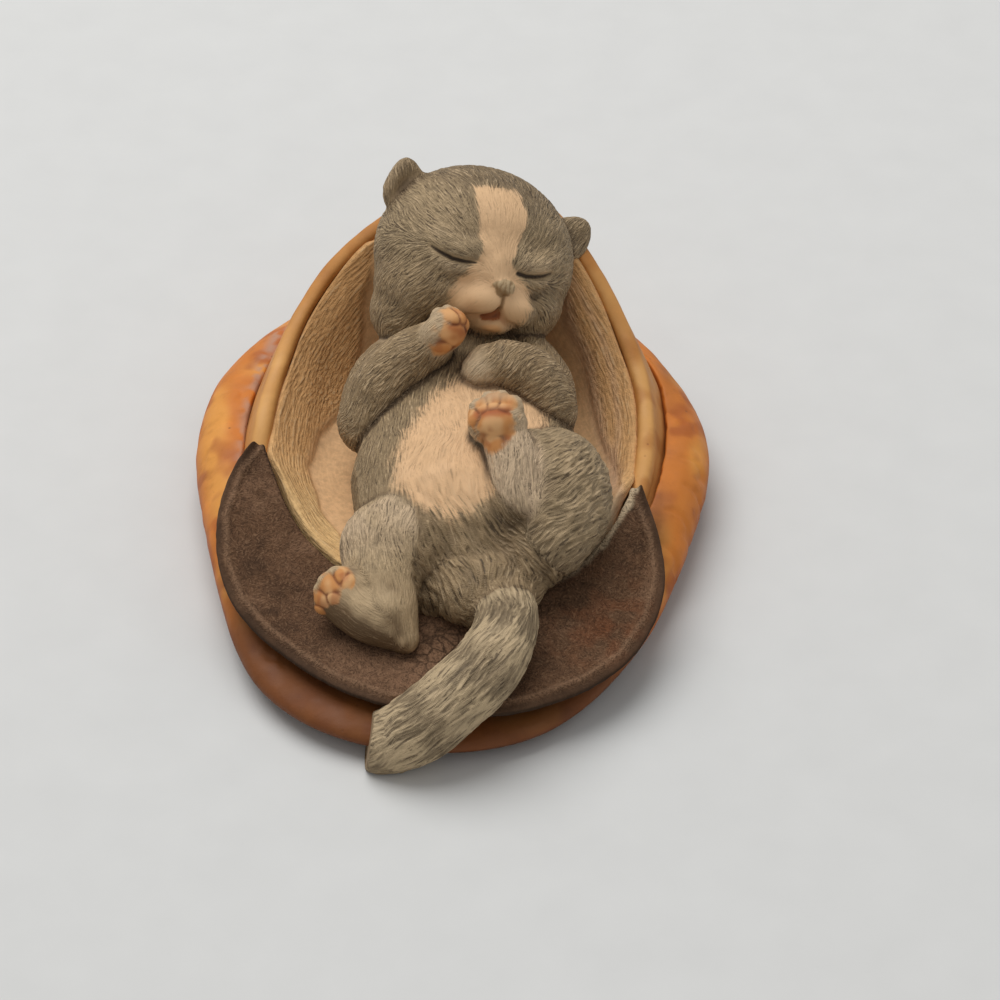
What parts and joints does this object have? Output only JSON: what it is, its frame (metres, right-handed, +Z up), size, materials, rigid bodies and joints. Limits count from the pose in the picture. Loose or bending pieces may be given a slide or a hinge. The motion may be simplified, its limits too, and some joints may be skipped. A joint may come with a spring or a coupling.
{
  "type": "cat figurine",
  "caption": "Small painted resin figurine of a kitten asleep on its back in an upturned flat cap, its tail hanging over the visor.",
  "frame": {"origin": "on the table plane, at the marked point of the felt's flat underside, near the middle of the cap", "axes": "+Z up from the table, -Y towards the visor and the tail's end, +X to the right as seen from the visor"},
  "size_m": [0.0738, 0.0989, 0.0444],
  "materials": {
    "felt": "matt felt",
    "cap_paint": "painted cast resin, satin",
    "band_paint": "painted cast resin, satin",
    "lining_paint": "painted cast resin, matt",
    "visor_paint": "painted cast resin, matt suede look",
    "fur_paint": "painted cast resin, matt, carved fur",
    "fur_light_paint": "painted cast resin, matt, carved fur"
  },
  "bodies": {
    "root": {"base_felt": "felt", "cap_crown": "cap_paint", "cap_band": "band_paint", "cap_lining": "lining_paint", "visor": "visor_paint", "head": "fur_paint", "torso": "fur_paint", "ear_left": "fur_light_paint", "ear_right": "fur_light_paint", "foreleg_right": "fur_light_paint", "foreleg_left": "fur_light_paint", "hind_leg_left": "fur_light_paint", "hind_leg_right": "fur_light_paint", "tail": "fur_paint"}
  },
  "joints": []
}
